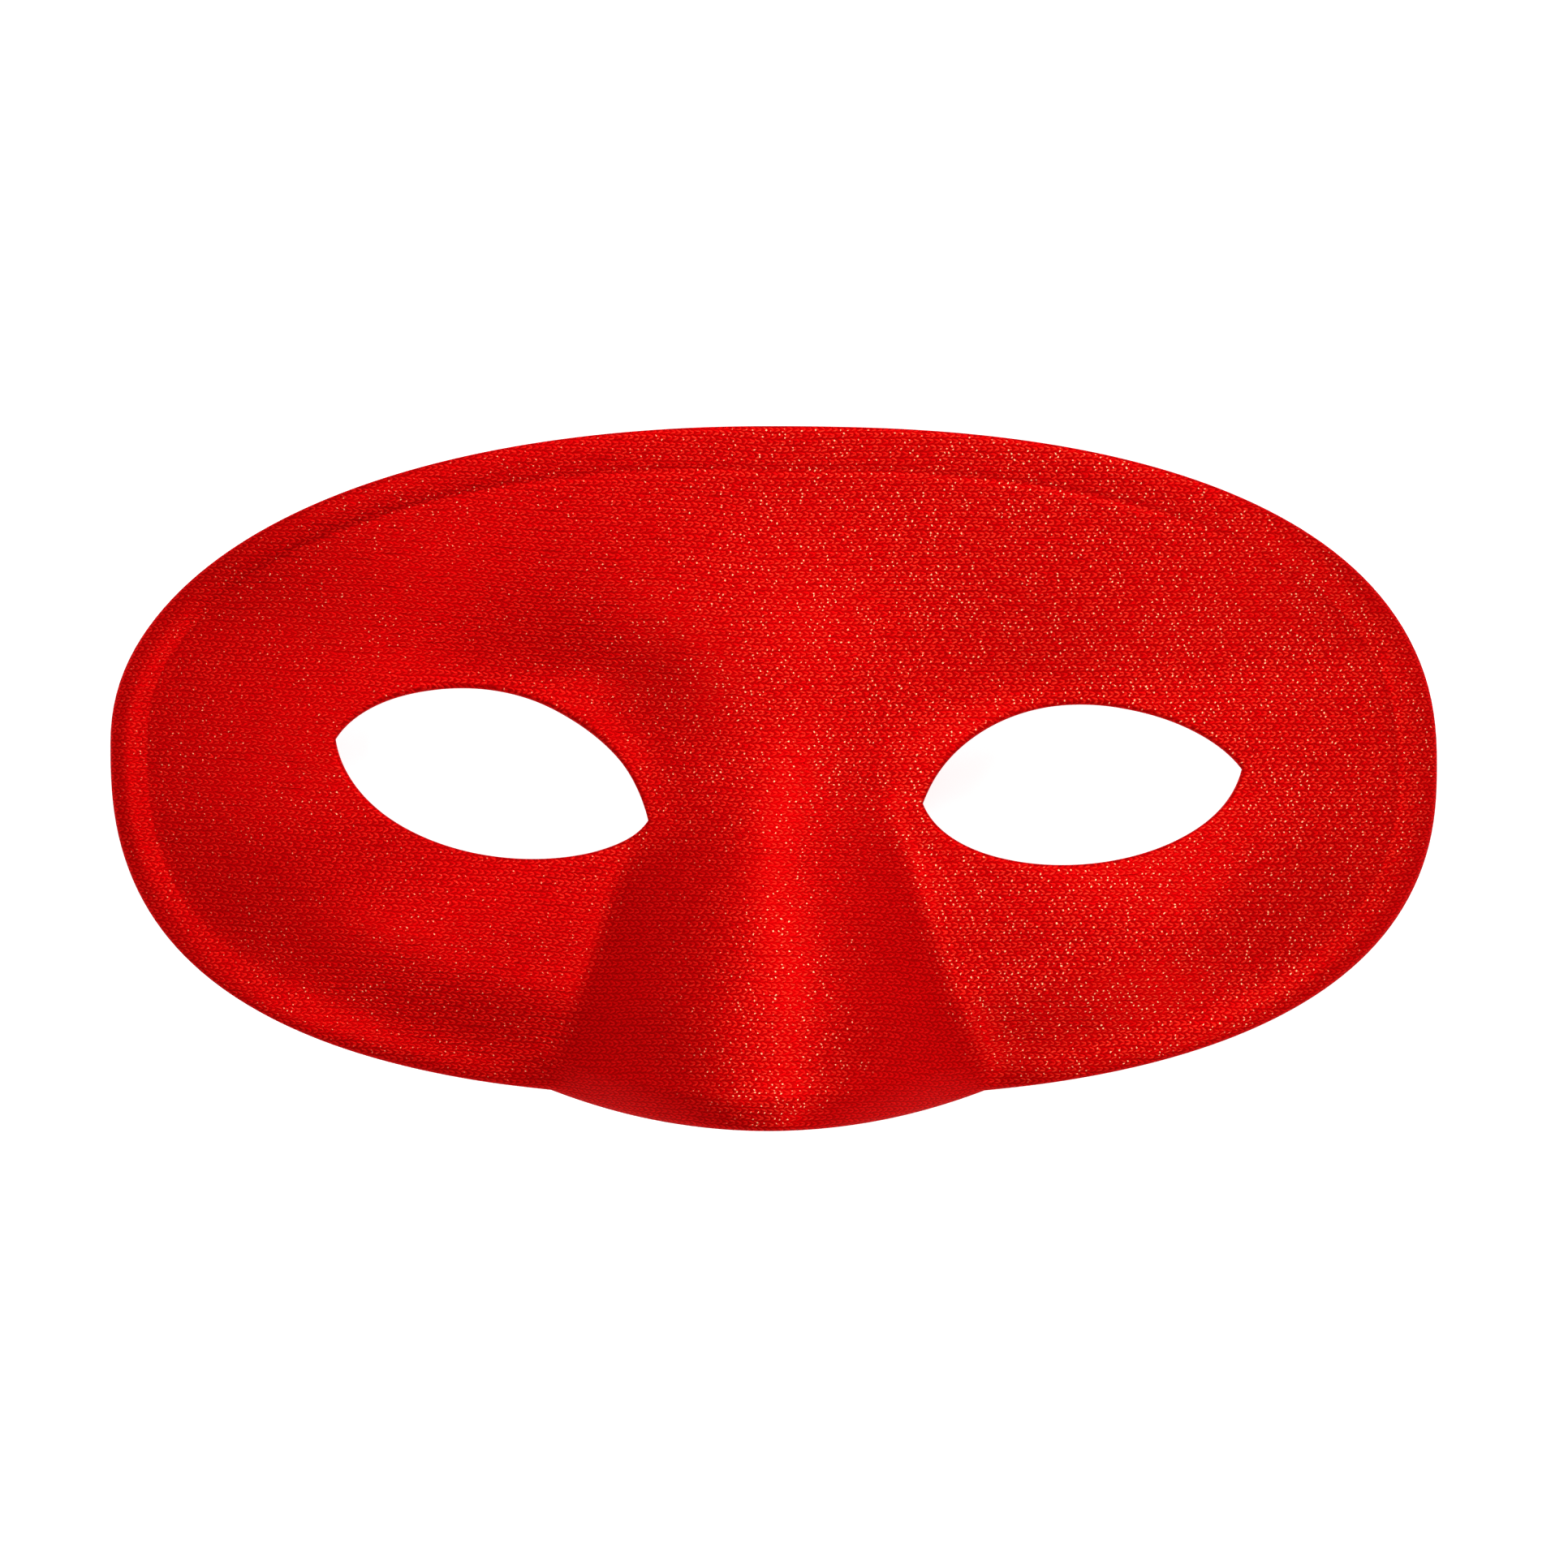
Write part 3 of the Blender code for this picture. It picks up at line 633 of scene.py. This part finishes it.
fabric = {
    # gap is painted shade between the stitches, the crowns are a painted highlight on their tops and glint
    # is a painted glint
    "gap": (0.38, 0.0004, 0.0007, 1.0),
    "loop": (0.65, 0.0012, 0.0020, 1.0),
    "shadedCrown": (0.73, 0.005, 0.005, 1.0),    # painted highlight on top of an arm, its shaded copy on the left and on steep places
    "litCrown": (0.76, 0.036, 0.016, 1.0),     # its lit copy, where the painted sheen is full
    "glint": (1.00, 0.50, 0.26, 1.0),
    "loopFrom": (0.0, 0.55),                 # the height of an arm where its loop colour comes in
    "crownFrom": (0.40, 1.0),                # and where its crown's does
    "pullShade": 0.7,
    "paintedSheenFacing": (0.70, 0.96),             # how far up the mask faces where the painted sheen starts
    "paintedSheenPlace": (-0.045, 0.020),           # across the mask, in metres, where the painted sheen is full
    "leftPaintedSheen": 0.38,                       # the painted sheen on the left half
    "clusterScale": 90.0,
    "clusterShare": 0.35,
    "glintLeast": (-0.28, 1.07),             # least luck of a glint: its change with the painted sheen, and at none
    "glintShare": 0.30,                      # from the faintest glint to the brightest
    "glintPaintedSheen": (0.0, 0.4),
    "roughness": (0.40, 0.56),
    "fuzzScale": 5.0,
    "fuzzTall": 0.3,
    "bumpStrength": 0.4,
    "bumpDistance": 0.00012,
    "metallic": 0.45,                        # the satin gloss of the yarn
    "specular": 0.02,
}


def fabricMaterial(name, stitchTree, glints, shade):
    material = bpy.data.materials.new(name)
    material.use_nodes = True
    tree = material.node_tree
    surfaceNode = tree.nodes["Principled BSDF"]
    place = addNode(tree, "ShaderNodeAttribute", attribute_name="knitPlace").outputs["Vector"]
    coordinates = addNode(tree, "ShaderNodeTexCoord").outputs
    stitches = addNode(tree, "ShaderNodeGroup", node_tree=stitchTree)
    tree.links.new(place, stitches.inputs["Place"])
    stitches.inputs["Row Pitch"].default_value = knit["rowPitch"]
    stitches.inputs["Stitch Pitch"].default_value = knit["stitchPitch"]
    stitches.inputs["Unevenness"].default_value = knit["unevenness"]
    out = stitches.outputs

    # painted sheen: the yarn's colour is made lighter on the right half and where the mask faces up, as the
    # light falls there
    rightward = addNode(tree, "ShaderNodeSeparateXYZ", {0: coordinates["Object"]}).outputs["X"]
    upright = addNode(tree, "ShaderNodeSeparateXYZ", {0: coordinates["Normal"]}).outputs["Z"]
    facing = between(tree, sums(tree, "ABSOLUTE", upright), *fabric["paintedSheenFacing"])
    rightness = between(tree, rightward, *fabric["paintedSheenPlace"])
    rightness = sums(tree, "MULTIPLY_ADD", rightness, 1.0 - fabric["leftPaintedSheen"], fabric["leftPaintedSheen"])
    paintedSheen = sums(tree, "MULTIPLY", facing, rightness)

    # painted shade darkens the gaps between the stitches and the lines of pulled threads, and a painted
    # highlight lightens the arms' crowns, lit or shaded by the painted sheen
    yarn = blendColors(tree, between(tree, out["Arm"], *fabric["loopFrom"]), fabric["gap"], fabric["loop"])
    crown = blendColors(tree, paintedSheen, fabric["shadedCrown"], fabric["litCrown"])
    shine = sums(tree, "MULTIPLY", between(tree, out["Arm"], *fabric["crownFrom"]), out["Luck"])
    yarn = blendColors(tree, shine, yarn, crown)
    yarn = blendColors(tree, sums(tree, "MULTIPLY", out["Pull"], fabric["pullShade"]), yarn, fabric["gap"])

    # painted glints come in loose clusters, most of them faint, and more of them where the painted sheen is
    cluster = addNode(tree, "ShaderNodeTexNoise", {"Vector": coordinates["Object"], "Detail": 2.0,
                                                   "Scale": fabric["clusterScale"]}).outputs["Fac"]
    least = sums(tree, "SUBTRACT", sums(tree, "MULTIPLY_ADD", paintedSheen, *fabric["glintLeast"]),
                 sums(tree, "MULTIPLY", cluster, fabric["clusterShare"]))
    above = sums(tree, "DIVIDE", sums(tree, "SUBTRACT", out["Glint"], least), fabric["glintShare"])
    strength = sums(tree, "MULTIPLY", between(tree, paintedSheen, *fabric["glintPaintedSheen"]), glints)
    spark = sums(tree, "MULTIPLY", between(tree, above, 0.0, 1.0), strength)
    yarn = blendColors(tree, spark, yarn, fabric["glint"])
    yarn = blendColors(tree, 1.0, yarn, (shade, shade, shade, 1.0), "MULTIPLY")
    tree.links.new(yarn, surfaceNode.inputs["Base Color"])

    fuzz = addNode(tree, "ShaderNodeTexNoise", {"Vector": place, "Detail": 2.0,
                                                "Scale": fabric["fuzzScale"]}).outputs["Fac"]
    smoothest, roughest = fabric["roughness"]
    roughness = addNode(tree, "ShaderNodeMapRange", {"Value": fuzz, "To Min": smoothest, "To Max": roughest})
    tree.links.new(roughness.outputs["Result"], surfaceNode.inputs["Roughness"])
    tall = sums(tree, "MULTIPLY_ADD", fuzz, fabric["fuzzTall"], out["Height"])
    bump = addNode(tree, "ShaderNodeBump", {"Height": tall, "Strength": fabric["bumpStrength"],
                                            "Distance": fabric["bumpDistance"]})
    tree.links.new(bump.outputs["Normal"], surfaceNode.inputs["Normal"])
    surfaceNode.inputs["Metallic"].default_value = fabric["metallic"]
    surfaceNode.inputs["Specular IOR Level"].default_value = fabric["specular"]
    surfaceNode.inputs["Specular Tint"].default_value = fabric["loop"]
    return material


stitchTree = knitGroup()
redMask = buildMask()
redMask.data.materials.append(fabricMaterial("red_knit_front", stitchTree, 1.0, 1.0))
redMask.data.materials.append(fabricMaterial("red_knit_back", stitchTree, 0.3, 0.8))
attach(redMask, "root")
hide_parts("mask_shell")


studio = {
    "floorSize": 6.0,
    "floorGlow": 0.90,
    "floorGrey": 0.5,
    "floorRough": 0.9,
    "floorSpecular": 0.1,
    "skyGlow": 0.03,
    "lamps": {
        "topLamp": {"place": (0.0, 1.11, 0.854), "size": 0.45, "power": 8.1},
        "topRightLamp": {"place": (0.531, 0.743, 1.061), "size": 0.45, "power": 10.0},
        "leftLamp": {"place": (-0.626, 0.0, 1.252), "size": 0.45, "power": 7.6},
        "lowRightLamp": {"place": (0.697, -0.697, 0.995), "size": 0.45, "power": 7.6},
    },
}


def buildStudio():
    bpy.ops.object.select_all(action="DESELECT")
    bpy.ops.mesh.primitive_plane_add(size=studio["floorSize"], location=(0, 0, 0))
    floor = bpy.context.object
    floor.name = "studio_floor"
    paper = bpy.data.materials.new("white_paper")
    paper.use_nodes = True
    surfaceNode = paper.node_tree.nodes["Principled BSDF"]
    surfaceNode.inputs["Base Color"].default_value = (*[studio["floorGrey"]] * 3, 1.0)
    surfaceNode.inputs["Roughness"].default_value = studio["floorRough"]
    surfaceNode.inputs["Specular IOR Level"].default_value = studio["floorSpecular"]
    surfaceNode.inputs["Emission Color"].default_value = (1.0, 1.0, 1.0, 1.0)
    surfaceNode.inputs["Emission Strength"].default_value = studio["floorGlow"]
    floor.data.materials.append(paper)

    world = bpy.data.worlds.new("studio_air")
    bpy.context.scene.world = world
    world.use_nodes = True
    world.node_tree.nodes["Background"].inputs["Color"].default_value = (1.0, 1.0, 1.0, 1.0)
    world.node_tree.nodes["Background"].inputs["Strength"].default_value = studio["skyGlow"]

    for name, lamp in studio["lamps"].items():
        bpy.ops.object.light_add(type="AREA", location=lamp["place"])
        light = bpy.context.object
        light.name = name
        light.data.size = lamp["size"]
        light.data.energy = lamp["power"]
        light.rotation_euler = (-Vector(lamp["place"])).to_track_quat("-Z", "Y").to_euler()
    print("studio ready")


camera = {
    "height": 2.0,
    "rimHeight": 0.008,        # the mask's width is matched at this height
    "sensor": 36.0,
    "clipEnd": 20.0,
    "photoWidth": 1932,        # pixels of the photo's side
    "maskWidth": 1639,         # pixels that the mask spans in it
    "maskMiddle": (953.5, 957.0),
}


def buildCamera():
    perPixel = mask["width"] / camera["maskWidth"]
    offsetX = (camera["photoWidth"] / 2 - camera["maskMiddle"][0]) * perPixel
    offsetY = (camera["maskMiddle"][1] - camera["photoWidth"] / 2) * perPixel
    bpy.ops.object.camera_add(location=(offsetX, offsetY, camera["height"]), rotation=(0, 0, 0))
    view = bpy.context.object
    view.name = "photo_camera"
    view.data.sensor_width = camera["sensor"]
    seenWidth = perPixel * camera["photoWidth"]
    view.data.lens = camera["sensor"] * (camera["height"] - camera["rimHeight"]) / seenWidth
    view.data.clip_end = camera["clipEnd"]
    bpy.context.scene.camera = view
    bpy.context.scene.view_settings.view_transform = "Standard"


buildStudio()
buildCamera()
